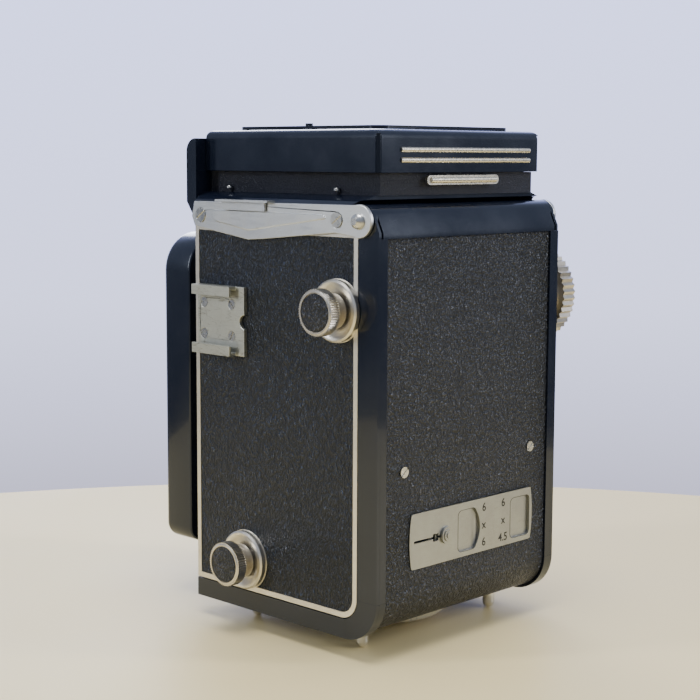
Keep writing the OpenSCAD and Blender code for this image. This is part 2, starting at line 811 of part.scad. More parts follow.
module focus_shaft() {
    color([0.6, 0.6, 0.6]) mirror([1, 0, 0]) {
        rod_x(2.5, 35.5, 47, focus_y, focus_z);
        difference() {
            rod_x(4, 35.5, cast_x + 2.4, focus_y, focus_z);
            rod_x(2.4, 30, 45, focus_y, focus_z);
        }
    }
}

module advance_knob() {
    color([0.75, 0.72, 0.66]) mirror([1, 0, 0]) difference() {
        union() {
            rod_x(12.5, 41.4, 44.5, take_y, take_z);
            knurl_x(15, 0.7, 46, 44.5, 50, take_y, take_z);
        }
        rod_x(12.6, 49, 51, take_y, take_z);
        rod_x(3, 40, 48, take_y, take_z);
    }
}

module advance_shaft() {
    color([0.6, 0.6, 0.6]) mirror([1, 0, 0]) {
        rod_x(3, spool_w / 2 + 0.3, 48, take_y, take_z);
        rod_x(2.9, spool_w / 2 - 3, spool_w / 2 + 0.3 + eps, take_y, take_z);
        block([spool_w / 2 - 3, take_y - 4.2, take_z - 0.6], [spool_w / 2 - 0.5, take_y + 4.2, take_z + 0.6]);
    }
}

// An empty roll film spool, with a hole and a drive slot in each end
module film_spool(y, z) {
    half = spool_w / 2;
    difference() {
        union() {
            rod_x(6.5, -half, half, y, z);
            both_sides() rod_x(spool_r, half - 0.8, half, y, z);
        }
        rod_x(3, -half - 1, half + 1, y, z);
        both_sides() block([half - 3.5, y - 4.6, z - 0.9], [half + 1, y + 4.6, z + 0.9]);
    }
}

module take_up_spool() {
    color([0.15, 0.15, 0.15]) film_spool(take_y, take_z);
}

module feed_spool() {
    color([0.15, 0.15, 0.15]) film_spool(feed_y, feed_z);
}

module film_roller(z) {
    rod_x(2.5, -31.8, 31.8, 30.5, z);
    rod_x(1.2, -cheek_in - 2.5, cheek_in + 2.5, 30.5, z);
}

module upper_roller() {
    color([0.7, 0.7, 0.7]) film_roller(84.5);
}

module lower_roller() {
    color([0.7, 0.7, 0.7]) film_roller(20.5);
}

// The pin that holds one end of a spool and pulls out with its knob
module spool_pin(y, z) {
    rod_x(2.9, 29.2, 47, y, z);
    rod_x(4, cheek_in + 0.1, cast_x, y, z);
}

module spool_pin_upper() {
    color([0.7, 0.7, 0.7]) spool_pin(take_y, take_z);
}

module spool_pin_lower() {
    color([0.7, 0.7, 0.7]) spool_pin(feed_y, feed_z);
}

module spool_knob(y, z) {
    difference() {
        union() {
            rod_x(5, 41.6, 44, y, z);
            cone_x(5, 5.9, 43, 45.6, y, z);
            knurl_x(6.6, 0.3, 60, 45.6, 48.7, y, z);
            cone_x(6.2, 5.9, 48.7 - eps, 49, y, z);
        }
        rod_x(5.5, 48.3, 50, y, z);
        rod_x(2.9 + run, 40, 47.6, y, z);
    }
    rod_x(5.4, 48.2, 48.75, y, z);
}

module spool_knob_upper() {
    color([0.72, 0.68, 0.6]) spool_knob(take_y, take_z);
}

module spool_knob_lower() {
    color([0.72, 0.68, 0.6]) spool_knob(feed_y, feed_z);
}

// ---------------------------------------------------------------- hinged back

// The outline of the door's skin between its rims, with an edge drawn in
module skin_outline(inset, edge) {
    r = skin_r - inset;
    translate([skin_front + edge, skin_z - r]) square([skin_y - skin_front - edge, r]);
    translate([skin_front + edge, skin_z]) square([skin_y + r - skin_front - edge, skin_top - edge - skin_z]);
    translate([skin_y, skin_z]) circle(r);
}

// The rolled top edge of the door, which runs into the rear face on a slope
module roll_outline(r, rear, foot) {
    lean = 25;
    meet = (r - (rear - hinge_y) * cos(lean)) / sin(lean);
    translate([hinge_y, hinge_z]) circle(r);
    polygon([[hinge_y, foot], [rear, foot], [rear, hinge_z + meet],
        [hinge_y + r * cos(lean), hinge_z + r * sin(lean)], [hinge_y, hinge_z]]);
}

module back_door() {
    inner = 38.75;
    flange_top = hinge_z - 4.7;
    knuckle_out = 39.7;
    corner_y = back_y - corner_r;
    corner_z = base_z + corner_r;
    color([0.03, 0.03, 0.04]) difference() {
        union() {
            difference() {
                slab_x(-shell_x, shell_x) back_outline(0);
                slab_x(-inner, inner) back_outline(door_wall);
                slab_x(-50, 50) trim_outline(-gap);
                block([-50, -50, flange_top], [50, 50, 200]);
            }
            slab_x(-38, 38) difference() {
                roll_outline(roll_r, back_y, flange_top);
                roll_outline(roll_r - 1.3, back_y - 1.3, flange_top - 1);
                translate([hinge_y - 30, hinge_z - 30]) square([30.5, 60]);
            }
            both_sides() intersection() {
                rod_x(roll_r, inner - 1.5, knuckle_out, hinge_y, hinge_z);
                block([0, hinge_y - 0.9, 100], [50, 50, 150]);
            }
            both_sides() rod_x(4.4, inner, knuckle_out, hinge_y, hinge_z);
            both_sides() slab_x(inner, knuckle_out) difference() {
                roll_outline(roll_r, back_y, flange_top - 2);
                translate([hinge_y - 30, hinge_z - 30]) square([29.1, 60]);
            }
        }
        both_sides() rod_x(2 + run, 30, 45, hinge_y, hinge_z);
        slab_x(-skin_half, skin_half) difference() {
            translate([skin_front, 0]) square([90, skin_top]);
            skin_outline(skin_thick + 0.02, 0);
        }
        block([-29, skin_face - 0.95, 26.2], [23.5, 50, 40.4]);
        for (x = window_mid) rod_y(2.6, 30, back_y - 1, x, 33);
        for (x = door_screw_x) rod_y(1.2, 30, 50, x, door_screw_z);
        for (x = [-18, 18]) rod_y(1.6, 30, 50, x, taking_z);
        cylinder(r = 8, h = 30);
        for (x = foot_x, y = foot_y) translate([x, y, 0]) cylinder(r = 1.5, h = 7.65);
        joint_x(inner - slice, [-60, 0], [60, 200]);
        block([-50, corner_y, corner_z], [50, 60, corner_z + slice]);
        block([-50, corner_y, 0], [50, corner_y + slice, corner_z]);
        block([-50, hinge_y - 0.9, flange_top - slice], [50, 60, flange_top]);
    }
}

module door_leather() {
    half = skin_half - 0.1;
    color([0.12, 0.12, 0.15]) difference() {
        slab_x(-half, half) difference() {
            skin_outline(0, 0.1);
            skin_outline(skin_thick, -1);
        }
        slab_y(30, 50) format_outline(0.1);
        for (x = door_screw_x) rod_y(1.9, 30, 50, x, door_screw_z);
        cylinder(r = ring_r + 0.6, h = 20);
        for (x = foot_x, y = foot_y) translate([x, y, 0]) cylinder(r = 2.2, h = 8);
    }
}

// The outline of the format plate, whose ends bulge a little
module format_outline(grow) {
    bulge_r = 40;
    low = [format_x[0] - grow, format_z[0] - grow];
    high = [format_x[1] + grow, format_z[1] + grow];
    mid_z = (low[1] + high[1]) / 2;
    intersection() {
        round_rect(low, high, 1.6);
        translate([low[0] + bulge_r, mid_z]) circle(bulge_r, $fn = 160);
        translate([high[0] - bulge_r, mid_z]) circle(bulge_r, $fn = 160);
    }
}

module format_plate() {
    window_top = 38.9;
    window_low = 26.5;
    slit_end = 24.3;
    color([0.66, 0.64, 0.6]) {
        slab_y(skin_face - skin_thick, plate_face) difference() {
            format_outline(0);
            round_rect([-28.2, window_low], [-19, window_top], 1.2);
            round_rect([-3, window_low], [5.2, window_top], 1.2);
            intersection() {
                translate([3.7, 32.7]) circle(8.5);
                translate([-6, window_low]) square([6, window_top - window_low]);
            }
            translate([knob_x - 0.9, slide_z - 0.35]) square([slit_end - knob_x + 0.9, 0.7]);
            translate([13.9, slide_z - 1.1]) square([2.3, 2.2]);
        }
    }
}

module door_screws() {
    face = skin_face + 0.35;
    seat = skin_face - skin_thick;
    color([0.7, 0.7, 0.7]) for (x = door_screw_x) {
        difference() {
            rod_y(1.6, seat, face, x, door_screw_z);
            translate([x, face, door_screw_z]) rotate([0, 40, 0]) cube([5, 0.6, 0.4], center = true);
        }
        rod_y(1.2, back_y - door_wall, seat, x, door_screw_z);
    }
}

module format_slide() {
    y0 = skin_face - 0.9;
    y1 = y0 + 0.5;
    color([0.5, 0.48, 0.46]) {
        difference() {
            block([-28.7, y0, 26.3], [14.5, y1, 40.3]);
            rod_y(1.8, 30, 50, window_mid[1] - 8.5, 33);
        }
        block([knob_x - 0.8, y0, slide_z - 0.3], [knob_x + 0.8, plate_face + 0.2, slide_z + 0.3]);
        rod_y(2.6, plate_face + 0.05, plate_face + 0.8, knob_x, slide_z);
        rod_y(1.8, plate_face + 0.7, plate_face + 1.1, knob_x, slide_z);
        rod_y(1, plate_face + 1, plate_face + 1.35, knob_x, slide_z);
    }
}

module pressure_plate() {
    color([0.1, 0.1, 0.1]) difference() {
        union() {
            block([-31, film_y + 0.35, 23], [31, film_y + 1.25, 83]);
            for (x = [-18, 18]) rod_y(1.5, film_y + 1.2, back_y - 1.6, x, taking_z);
        }
        for (x = window_mid) rod_y(2.6, 30, 40, x, 33);
    }
}

module feet() {
    color([0.75, 0.75, 0.76]) for (x = foot_x, y = foot_y) translate([x, y, 0]) {
        intersection() {
            translate([0, 0, 1.9]) sphere(1.9);
            translate([-3, -3, 0]) cube([6, 6, 1.9]);
        }
        translate([0, 0, 1.9]) cylinder(r = 1.9, h = 5.3);
        translate([0, 0, 5]) cylinder(r = 1.5, h = 2.6);
    }
}

module tripod_socket() {
    color([0.75, 0.75, 0.75]) difference() {
        union() {
            translate([0, 0, 0.5]) cylinder(r = 8, h = 7.4);
            translate([0, 0, back_inner_z]) cylinder(r = 10, h = 0.5);
            translate([0, 0, 0.5]) cylinder(r = 9.4, h = 5);
        }
        translate([0, 0, -1]) cylinder(r = 3.175, h = 8);
    }
}

module latch_ring() {
    color([0.8, 0.8, 0.8]) difference() {
        translate([0, 0, 2.2]) linear_extrude(4.8) knurl_2d(ring_r, 0.9, 60);
        translate([0, 0, -1]) cylinder(r = 9.5, h = 20);
        translate([0, 0, 2.1]) cylinder(r = ring_r - 3.5, h = 1.2);
    }
}

housing();
side_trims();
side_leather();
strap_plates();
side_screws();
hinge_rivets();
strap_lugs();
accessory_shoe();
knob_collars();
top_cover();
focusing_screen();
mirror_carrier();
reflex_mirror();
hood_base();
hood_catch();
hood_pins();
hood_lid();
lid_panel();
lid_strips();
flap_left();
flap_right();
flap_rear();
magnifier_frame();
magnifier_lens();
magnifier_pin();
lens_panel();
panel_sleeve();
guide_rods();
viewing_barrel();
viewing_lens();
shutter_case();
shutter_blades();
taking_lens();
rear_cell();
rear_lens();
speed_lever();
aperture_lever();
shutter_lever();
cable_socket();
focus_knob();
focus_shaft();
advance_knob();
advance_shaft();
take_up_spool();
feed_spool();
upper_roller();
lower_roller();
spool_pin_upper();
spool_pin_lower();
spool_knob_upper();
spool_knob_lower();
back_door();
door_leather();
door_screws();
format_plate();
format_slide();
pressure_plate();
feet();
tripod_socket();
latch_ring();
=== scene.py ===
"""Looks of the twin lens reflex camera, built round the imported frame. All lengths are in metres."""

import json
import math

import bmesh
import bpy
from mathutils import Matrix, Vector


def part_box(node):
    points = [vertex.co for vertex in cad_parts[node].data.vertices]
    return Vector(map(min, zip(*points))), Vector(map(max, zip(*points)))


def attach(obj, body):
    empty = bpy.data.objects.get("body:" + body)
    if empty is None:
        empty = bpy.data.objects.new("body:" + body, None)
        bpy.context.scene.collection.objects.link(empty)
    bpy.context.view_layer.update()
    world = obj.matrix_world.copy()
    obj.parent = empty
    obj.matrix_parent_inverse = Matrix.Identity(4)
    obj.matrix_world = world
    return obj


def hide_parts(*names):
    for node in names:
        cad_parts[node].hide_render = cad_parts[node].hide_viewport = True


MM = 0.001
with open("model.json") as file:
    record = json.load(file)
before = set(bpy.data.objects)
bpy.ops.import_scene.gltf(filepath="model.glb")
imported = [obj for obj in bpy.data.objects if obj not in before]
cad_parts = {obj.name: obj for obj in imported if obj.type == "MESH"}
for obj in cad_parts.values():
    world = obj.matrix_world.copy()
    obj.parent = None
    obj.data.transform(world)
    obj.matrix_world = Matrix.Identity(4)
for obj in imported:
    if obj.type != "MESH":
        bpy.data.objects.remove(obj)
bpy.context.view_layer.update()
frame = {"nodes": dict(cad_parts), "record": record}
nodes = frame["nodes"]


# ---------------------------------------------------------------- materials
# Noise scales count features per metre of the object. Colours are linear.


class NodeTree:
    """Adds nodes to a tree, with values or links on their inputs."""

    def __init__(self, tree):
        self.tree = tree

    def node(self, kind, inputs=(), **settings):
        """Adds a node, with its inputs by name or by number and its settings by name."""
        made = self.tree.nodes.new(kind)
        for key, value in settings.items():
            setattr(made, key, value)
        for key, value in dict(inputs).items():
            self.feed(made.inputs[key], value)
        return made

    def feed(self, socket, value):
        """Links a node's output to an input, or sets the input to a constant."""
        if isinstance(value, bpy.types.NodeSocket):
            self.tree.links.new(value, socket)
        else:
            socket.default_value = value

    def span(self, value, low, high, to_low=0.0, to_high=1.0):
        """Maps a value from one range to another and keeps it there."""
        inputs = {"Value": value, "From Min": low, "From Max": high, "To Min": to_low, "To Max": to_high}
        return self.node("ShaderNodeMapRange", inputs).outputs["Result"]

    def blend(self, share, a, b):
        """Mixes two colours."""
        made = self.node("ShaderNodeMix", data_type="RGBA")
        self.feed(made.inputs["Factor"], share)
        self.feed(made.inputs[6], a)
        self.feed(made.inputs[7], b)
        return made.outputs[2]


class Paint(NodeTree):
    """A node material that is being put together."""

    def __init__(self, name, **constants):
        self.material = bpy.data.materials.new(name)
        self.material.use_nodes = True
        super().__init__(self.material.node_tree)
        self.bsdf = self.tree.nodes["Principled BSDF"]
        self.place = self.node("ShaderNodeTexCoord").outputs["Object"]
        for key, value in constants.items():
            self.bsdf.inputs[key.replace("_", " ")].default_value = value

    def stretched(self, scale, turn=(0, 0, 0)):
        """The place on the object, turned and scaled along each axis."""
        inputs = {"Vector": self.place, "Scale": scale, "Rotation": turn}
        return self.node("ShaderNodeMapping", inputs).outputs["Vector"]

    def noise(self, scale, detail=3.0, rough=0.5, where=None):
        inputs = {"Vector": where or self.place, "Scale": scale, "Detail": detail, "Roughness": rough}
        return self.node("ShaderNodeTexNoise", inputs).outputs["Fac"]

    def cells(self, scale, where):
        """The distance to the nearest edge between cells."""
        inputs = {"Vector": where, "Scale": scale}
        return self.node("ShaderNodeTexVoronoi", inputs, feature="DISTANCE_TO_EDGE").outputs["Distance"]

    def vector(self, operation, inputs):
        """The vector that a vector operation makes."""
        return self.node("ShaderNodeVectorMath", inputs, operation=operation).outputs["Vector"]

    def math(self, operation, a, b=0.0, clamp=False):
        made = self.node("ShaderNodeMath", operation=operation, use_clamp=clamp)
        self.feed(made.inputs[0], a)
        self.feed(made.inputs[1], b)
        return made.outputs[0]

    def bumped(self, height, depth, strength=1.0, under=None):
        inputs = {"Height": height, "Distance": depth, "Strength": strength}
        if under:
            inputs["Normal"] = under
        return self.node("ShaderNodeBump", inputs).outputs["Normal"]

    def finish(self, **links):
        """Feeds the shader's inputs, whose names are written with _ for a space."""
        for key, value in links.items():
            self.feed(self.bsdf.inputs[key.replace("_", " ")], value)
        return self.material


def rgb(red, green, blue):
    """An opaque colour."""
    return (red, green, blue, 1.0)


def enamel(name, base, lighter, rough=0.14):
    """Baked gloss enamel: a faint ripple, dust in patches and fine rubbing marks."""
    p = Paint(name, Coat_Weight=0.35, Coat_Roughness=0.06, Coat_Tint=rgb(0.85, 0.9, 1.0),
              Specular_IOR_Level=0.4, Specular_Tint=rgb(0.8, 0.88, 1.0))
    patches = p.noise(55, 4, 0.6)
    dust = p.noise(2400, 2, 0.7)
    share = p.span(p.math("MULTIPLY", patches, dust), 0.2, 0.5)
    ripple = p.bumped(p.noise(420, 2, 0.4), 0.012 * MM)
    scuff = p.noise(1.0, 5, 0.75, p.stretched((260, 900, 3200), (0.5, 0.3, 0.2)))
    rub = p.math("ADD", patches, p.math("MULTIPLY", scuff, 0.4))
    return p.finish(
        Base_Color=p.blend(share, base, lighter),
        Roughness=p.span(rub, 0.4, 1.0, rough, rough + 0.16),
        Normal=p.bumped(dust, 0.004 * MM, 0.5, ripple),
    )


def leather(name, grain, turn, low, high, depth, rough):
    """Grained leathercloth: raised pebbles between creases, in lumps, with painted highlights on their
    tops.
    """
    p = Paint(name, Specular_IOR_Level=0.5, Specular_Tint=rgb(0.78, 0.86, 1.0))
    waver = 0.5 * MM
    bend = p.node("ShaderNodeTexNoise", {"Vector": p.place, "Scale": 420.0, "Detail": 2.0}).outputs["Color"]
    centred = p.vector("SUBTRACT", {0: bend, 1: (0.5, 0.5, 0.5)})
    bent = p.vector("ADD", {0: p.place, 1: p.vector("SCALE", {0: centred, "Scale": waver})})
    inputs = {"Vector": bent, "Scale": grain, "Rotation": turn}
    skin = p.node("ShaderNodeMapping", inputs).outputs["Vector"]
    pebbles = p.span(p.cells(1.0, skin), 0.0, 0.34)
    folds = p.span(p.cells(0.4, skin), 0.0, 0.14)
    lumps = p.span(p.noise(1.1, 2, 0.6, skin), 0.3, 0.75)
    height = p.math("ADD", p.math("MULTIPLY", pebbles, 0.35), p.math("MULTIPLY", folds, 0.25))
    height = p.math("ADD", height, p.math("MULTIPLY", lumps, 0.6))
    # Painted highlight: in patches, the highest pebble tops take the lighter colour, standing in for glints
    # on the grain.
    glint_patches = p.span(p.noise(38, 5, 0.65), 0.3, 0.75, 0.25, 1.0)
    tone = p.blend(p.math("MULTIPLY", p.math("POWER", height, 6.0), glint_patches, True), low, high)
    return p.finish(
        Base_Color=tone,
        Roughness=p.span(height, 0.3, 1.1, rough + 0.2, rough - 0.1),
        Normal=p.bumped(height, depth, 1.0),
    )


def metal(name, base, stain, rough, grain=(900, 900, 900), depth=0.006, tarnish=0.35, scratched=0.0):
    """Worn bright metal: a brushed grain, tarnish in patches, small pits and fine scratches."""
    p = Paint(name, Metallic=1.0)
    brushed = p.noise(1.0, 4, 0.65, p.stretched(grain))
    patches = p.noise(140, 5, 0.7)
    pits = p.noise(2600, 2, 0.8)
    share = p.span(p.math("ADD", patches, p.math("MULTIPLY", pits, 0.5)), 0.62, 1.02, 0.0, tarnish)
    if scratched:
        for tilt in (0.7, 1.9, 2.6):
            line = p.math("SUBTRACT", p.noise(1.0, 2, 0.4, p.stretched((70, 60, 420), (tilt, 0, 0.2))), 0.5)
            mark = p.span(p.math("ABSOLUTE", line), 0.0, 0.009, scratched, 0.0)
            share = p.math("MAXIMUM", share, mark)
    rub = p.math("ADD", p.math("MULTIPLY", brushed, 0.6), p.math("MULTIPLY", patches, 0.5))
    return p.finish(
        Base_Color=p.blend(share, base, stain),
        Roughness=p.span(rub, 0.3, 0.8, rough - 0.06, rough + 0.12),
        Normal=p.bumped(p.math("ADD", brushed, p.math("MULTIPLY", pits, 0.5)), depth * MM, 0.8),
    )


def matt_paint(name, base, lighter, rough=0.6):
    """Matt black paint with a fine tooth."""
    p = Paint(name, Specular_IOR_Level=0.35)
    tooth = p.noise(2200, 3, 0.7)
    return p.finish(
        Base_Color=p.blend(p.span(p.noise(90, 4), 0.4, 0.7), base, lighter),
        Roughness=p.span(tooth, 0.3, 0.7, rough - 0.08, rough + 0.1),
        Normal=p.bumped(tooth, 0.02 * MM, 0.7),
    )


def coated_glass(name, tint):
    """Lens glass with a faint bloom and dust specks."""
    p = Paint(name, Transmission_Weight=1.0, IOR=1.52, Coat_Weight=0.3, Coat_Tint=rgb(0.7, 0.75, 1.0))
    dust = p.span(p.noise(1800, 3, 0.8), 0.62, 0.8)
    return p.finish(
        Base_Color=p.blend(dust, tint, rgb(0.75, 0.75, 0.78)),
        Roughness=p.span(dust, 0.0, 1.0, 0.01, 0.12),
    )


def ground_glass(name):
    """A screen that is ground on one side."""
    p = Paint(name, Transmission_Weight=0.6, IOR=1.5)
    tooth = p.noise(6000, 2, 0.9)
    return p.finish(
        Base_Color=p.blend(tooth, rgb(0.72, 0.76, 0.74), rgb(0.85, 0.88, 0.86)),
        Roughness=p.span(tooth, 0.3, 0.7, 0.45, 0.62),
        Normal=p.bumped(tooth, 0.01 * MM),
    )


def silvered(name):
    """A front-silvered mirror with slight clouding."""
    p = Paint(name, Metallic=1.0)
    cloud = p.noise(120, 4, 0.6)
    return p.finish(
        Base_Color=p.blend(cloud, rgb(0.86, 0.88, 0.9), rgb(0.7, 0.72, 0.74)),
        Roughness=p.span(cloud, 0.4, 0.8, 0.03, 0.12),
    )


def tabletop(name):
    """A pale, faintly glossy laminate."""
    p = Paint(name, Specular_IOR_Level=0.15)
    mottle = p.noise(9, 5, 0.6)
    specks = p.noise(500, 3, 0.7)
    return p.finish(
        Base_Color=p.blend(mottle, rgb(0.72, 0.59, 0.30), rgb(0.80, 0.67, 0.36)),
        Roughness=p.span(p.math("ADD", mottle, p.math("MULTIPLY", specks, 0.3)), 0.4, 1.0, 0.4, 0.56),
        Normal=p.bumped(specks, 0.01 * MM, 0.4),
    )


NAVY = rgb(0.0040, 0.0062, 0.0140)
NAVY_DUST = rgb(0.0100, 0.0130, 0.0240)
FLAT = (0, 0, 0)

looks = {
    "black_enamel": enamel("black_enamel", NAVY, NAVY_DUST),
    "cast_body": matt_paint("cast_body", rgb(0.008, 0.008, 0.009), rgb(0.018, 0.018, 0.02)),
    # The second colour of each leather is the painted highlight on its pebble tops.
    "leather": leather(
        "leather", (1000, 1250, 640), (0.35, 0, 0), rgb(0.0015, 0.002, 0.004),
        rgb(0.054, 0.078, 0.150), 0.6 * MM, 0.26,
    ),
    "leather_back": leather(
        "leather_back", (1050, 1050, 900), FLAT, rgb(0.002, 0.002, 0.003),
        rgb(0.110, 0.116, 0.150), 0.55 * MM, 0.26,
    ),
    "leather_hood": leather(
        "leather_hood", (2600, 2600, 2600), FLAT, rgb(0.012, 0.012, 0.018),
        rgb(0.080, 0.084, 0.120), 0.35 * MM, 0.3,
    ),
    "trim_nickel": metal("trim_nickel", rgb(0.74, 0.71, 0.64), rgb(0.36, 0.31, 0.24), 0.34),
    "plate_aluminium": metal(
        "plate_aluminium", rgb(0.62, 0.64, 0.66), rgb(0.34, 0.32, 0.27), 0.36, (300, 160, 2200),
        scratched=0.25,
    ),
    "shoe_aluminium": metal(
        "shoe_aluminium", rgb(0.46, 0.47, 0.43), rgb(0.20, 0.19, 0.15), 0.44, scratched=0.8,
    ),
    "knob_nickel": metal("knob_nickel", rgb(0.66, 0.63, 0.57), rgb(0.27, 0.21, 0.14), 0.3, tarnish=0.5),
    "screw_steel": metal(
        "screw_steel", rgb(0.60, 0.60, 0.58), rgb(0.35, 0.32, 0.27), 0.25, depth=0.0015,
        tarnish=0.2,
    ),
    "champagne_trim": metal(
        "champagne_trim", rgb(0.83, 0.78, 0.66), rgb(0.45, 0.38, 0.27), 0.24, depth=0.002,
        tarnish=0.2,
    ),
    "format_metal": metal(
        "format_metal", rgb(0.355, 0.365, 0.36), rgb(0.22, 0.20, 0.16), 0.36, (2200, 300, 300),
        scratched=0.3,
    ),
    "bright_chrome": metal(
        "bright_chrome", rgb(0.80, 0.80, 0.81), rgb(0.45, 0.43, 0.40), 0.14, tarnish=0.12,
    ),
    "black_lens_mount": matt_paint(
        "black_lens_mount", rgb(0.010, 0.010, 0.011), rgb(0.02, 0.02, 0.022), 0.4,
    ),
    "shaft_steel": metal("shaft_steel", rgb(0.55, 0.55, 0.56), rgb(0.3, 0.3, 0.3), 0.3, (3000, 200, 200)),
    "spool_black": matt_paint("spool_black", rgb(0.012, 0.012, 0.013), rgb(0.025, 0.025, 0.026), 0.42),
    "optical_glass": coated_glass("optical_glass", rgb(0.86, 0.9, 0.98)),
    "ground_glass": ground_glass("ground_glass"),
    "mirror": silvered("mirror"),
}


# ---------------------------------------------------------------- CAD nodes

# Width of the rounded edge of a node, in mm. 0 leaves its edges alone and evens its flat faces.
EDGE = {
    "back_door": 0.7, "top_cover": 0.6, "hood_lid": 0.35, "lid_panel": 0.5, "hood_base": 0.3,
    "strap_plates": 0.25, "accessory_shoe": 0.4, "side_trims": 0.2, "format_plate": 0.2,
    "knob_collars": 0.2, "feet": 0.1, "hood_catch": 0.5, "strap_lugs": 0.12,
    "side_screws": 0.03, "door_screws": 0.03, "door_leather": 0,
}
OTHER_EDGE = 0.1
BARE_SLOTS = {"optical_glass", "mirror"}
SHARP = math.radians(38)


def dress(name, look, edge):
    """Gives a CAD node its material, joins its split corners and rounds its edges, unless edge is None."""
    piece = nodes[name]
    piece.data.materials.clear()
    piece.data.materials.append(look)
    weld = piece.modifiers.new("weld", "WELD")
    weld.merge_threshold = 0.002 * MM
    if edge:
        bevel = piece.modifiers.new("edge", "BEVEL")
        bevel.width = edge * MM
        bevel.segments = 3
        bevel.limit_method = "ANGLE"
        bevel.angle_limit = SHARP
        bevel.harden_normals = True
    elif edge == 0:
        piece.modifiers.new("flat_faces", "WEIGHTED_NORMAL").keep_sharp = True
    custom = piece.data.attributes.get("custom_normal")
    if custom:
        piece.data.attributes.remove(custom)
    piece.data.shade_smooth()
    piece.data.set_sharp_from_angle(angle=SHARP)


OWN_LOOK = {"door_leather": "leather_back", "hood_base": "leather_hood"}
slot_of = {row["node"]: row["material_slot"] for row in frame["record"]["subparts"]}
for name in nodes:
    slot = slot_of[name]
    look = looks[OWN_LOOK.get(name, slot)]
    dress(name, look, None if slot in BARE_SLOTS else EDGE.get(name, OTHER_EDGE))


# ---------------------------------------------------------------- mesh tools


def add_object(name, data, look, body, replaced=(), turn=None):
    """Puts a finished piece in the scene, with its material and the body that it rides on."""
    piece = bpy.data.objects.new(name, data)
    if turn:
        piece.matrix_world = turn
    bpy.context.scene.collection.objects.link(piece)
    data.materials.append(look)
    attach(piece, body)
    if replaced:
        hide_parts(*replaced)


def mesh_of(name, bm):
    """Turns a bmesh into a smooth mesh with sharp edges past the sharp angle."""
    bmesh.ops.remove_doubles(bm, verts=bm.verts, dist=0.001 * MM)
    bmesh.ops.recalc_face_normals(bm, faces=bm.faces)
    mesh = bpy.data.meshes.new(name)
    bm.to_mesh(mesh)
    bm.free()
    mesh.shade_smooth()
    mesh.set_sharp_from_angle(angle=SHARP)
    return mesh


def circle(x, y, r, steps):
    """Points round a circle."""
    turn = [2 * math.pi * i / steps for i in range(steps)]
    return [(x + r * math.cos(a), y + r * math.sin(a)) for a in turn]


def loft(bm, rings):
    """Joins rings of points, each to the next, with quads, and fills both ends."""
    made = [[bm.verts.new(point) for point in ring] for ring in rings]
    for low, high in zip(made, made[1:]):
        count = len(low)
        for i in range(count):
            j = (i + 1) % count
            bm.faces.new((low[i], low[j], high[j], high[i]))
    bm.faces.new(made[0][::-1])
    bm.faces.new(made[-1])


def rounded_outline(low, high, radii, steps=12):
    """Points round a rectangle whose corners, from high-high on anticlockwise, have these radii."""
    corners = [
        (high[0], high[1], -1, -1, 0), (low[0], high[1], 1, -1, 90),
        (low[0], low[1], 1, 1, 180), (high[0], low[1], -1, 1, 270),
    ]
    points = []
    for (x, z, sx, sz, start), r in zip(corners, radii):
        for i in range(steps + 1):
            a = math.radians(start + 90 * i / steps)
            points.append((x + sx * r + r * math.cos(a), z + sz * r + r * math.sin(a)))
    return points


def add_loop(data, points):
    """Adds a closed outline through points to a curve."""
    spline = data.splines.new("POLY")
    spline.points.add(len(points) - 1)
    for point, place in zip(spline.points, points):
        point.co = (*place, 1)
    spline.use_cyclic_u = True


# ---------------------------------------------------------------- lens panel


def make_lens_panel():
    """The moving front box: a thin shell with rounded edges, and a lip behind round the sleeve."""
    low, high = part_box("lens_panel")
    sleeve_low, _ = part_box("panel_sleeve")
    round_front, round_back, wall = 2.6 * MM, 0.8 * MM, 2.2 * MM
    top_r, low_r, least_r = 12.0 * MM, 5.0 * MM, 0.6 * MM
    lip_depth, face_depth, sleeve_gap = 1.2 * MM, 3 * MM, 0.2 * MM
    front_steps, back_steps = 10, 5

    def ring(inset, y):
        radii = [max(r - inset, least_r) for r in (top_r, top_r, low_r, low_r)]
        flat = rounded_outline((low.x + inset, low.z + inset), (high.x - inset, high.z - inset), radii)
        return [(x, y, z) for x, z in flat]

    rings = []
    for i in range(front_steps + 1):
        a = math.radians(90 * i / front_steps)
        rings.append(ring(round_front * (1 - math.sin(a)), low.y + round_front * (1 - math.cos(a))))
    for i in range(back_steps + 1):
        a = math.radians(90 * i / back_steps)
        rings.append(ring(round_back * (1 - math.cos(a)), high.y - round_back * (1 - math.sin(a))))
    lip = sleeve_low.x - low.x - sleeve_gap
    rings.append(ring(lip, high.y))
    rings.append(ring(lip, high.y - lip_depth))
    rings.append(ring(wall, high.y - lip_depth))
    rings.append(ring(wall, low.y + face_depth))
    bm = bmesh.new()
    loft(bm, rings)
    look = looks["black_enamel"]
    add_object("front_panel", mesh_of("front_panel", bm), look, "front", ["lens_panel"])


